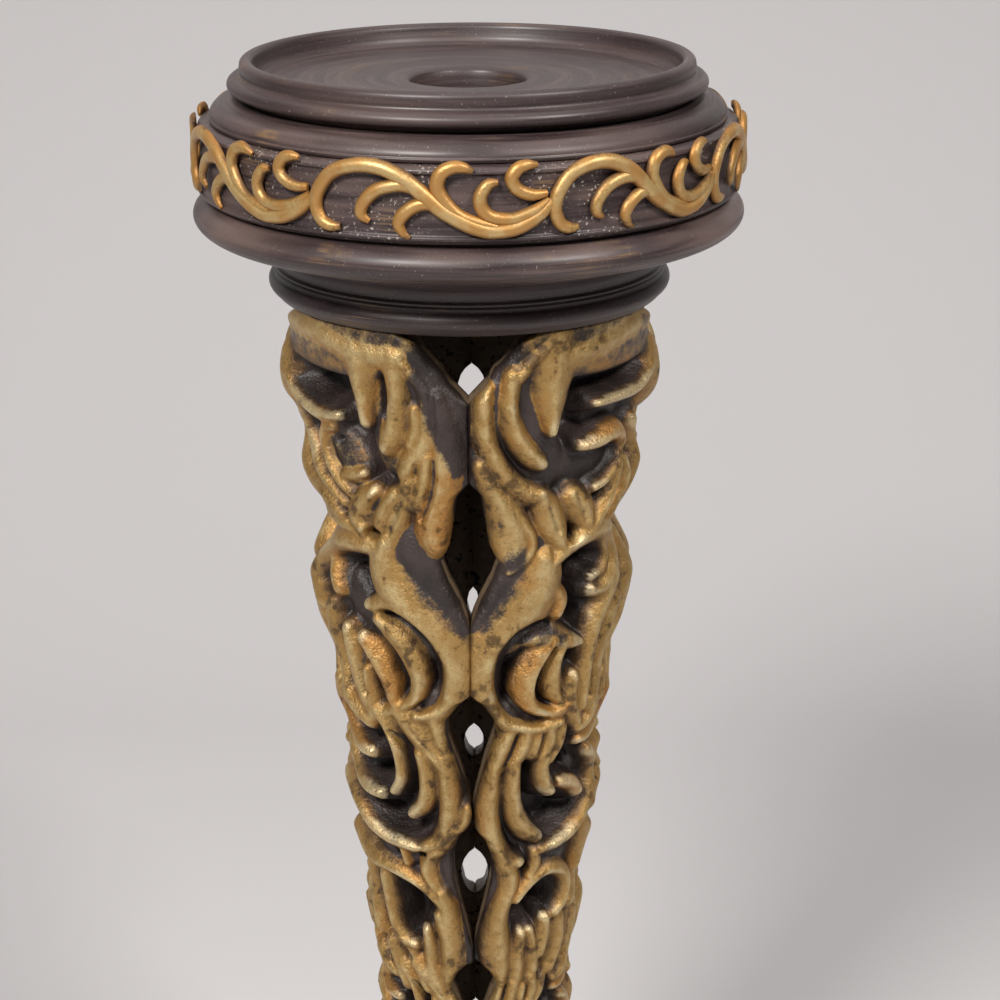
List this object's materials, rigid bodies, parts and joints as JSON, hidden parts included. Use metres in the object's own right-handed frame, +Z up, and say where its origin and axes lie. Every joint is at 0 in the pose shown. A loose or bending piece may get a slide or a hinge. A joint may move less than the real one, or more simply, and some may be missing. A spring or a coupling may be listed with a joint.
{
  "type": "torchere candle stand",
  "caption": "Short carved torchere candle stand with a round moulded tray, a candle socket, a scrolled drum and a tapering shaft of pierced carved legs on a turned foot.",
  "frame": {"origin": "on the floor, under the middle of the round foot", "axes": "+Z up along the stand's axis, the front faces -Y, +X to the right of it"},
  "size_m": [0.115, 0.115, 0.3061],
  "materials": {
    "dark_paint": "dark brown paint, waxed to a soft gloss",
    "rubbed_gold": "gold paint rubbed over dark brown",
    "carved_gilt": "carved, dark brown paint with rubbed gold on what stands proud",
    "bare_wood": "unfinished",
    "zinc_steel": "zinc plated",
    "felt": "black felt"
  },
  "bodies": {
    "root": {"felt_pad": "felt", "base_plinth": "dark_paint", "base_dome": "dark_paint", "foot_collar": "dark_paint", "base_bolt": "zinc_steel", "base_washer": "zinc_steel", "base_nut": "zinc_steel", "leg_front_right": "carved_gilt", "leg_rear_right": "carved_gilt", "leg_rear_left": "carved_gilt", "leg_front_left": "carved_gilt", "top_dowel_1": "bare_wood", "top_dowel_2": "bare_wood", "top_dowel_3": "bare_wood", "top_dowel_4": "bare_wood", "leg_screw_1": "zinc_steel", "leg_screw_2": "zinc_steel", "leg_screw_3": "zinc_steel", "leg_screw_4": "zinc_steel", "neck_ring": "dark_paint", "neck_screw_1": "zinc_steel", "neck_screw_2": "zinc_steel", "neck_screw_3": "zinc_steel", "torus_ring": "dark_paint", "frieze_drum": "dark_paint", "frieze_scroll_1": "rubbed_gold", "frieze_scroll_2": "rubbed_gold", "frieze_scroll_3": "rubbed_gold", "frieze_scroll_4": "rubbed_gold", "frieze_scroll_5": "rubbed_gold", "frieze_scroll_6": "rubbed_gold", "frieze_scroll_7": "rubbed_gold", "frieze_scroll_8": "rubbed_gold", "shoulder_ring": "dark_paint", "candle_tray": "dark_paint"}
  },
  "joints": []
}
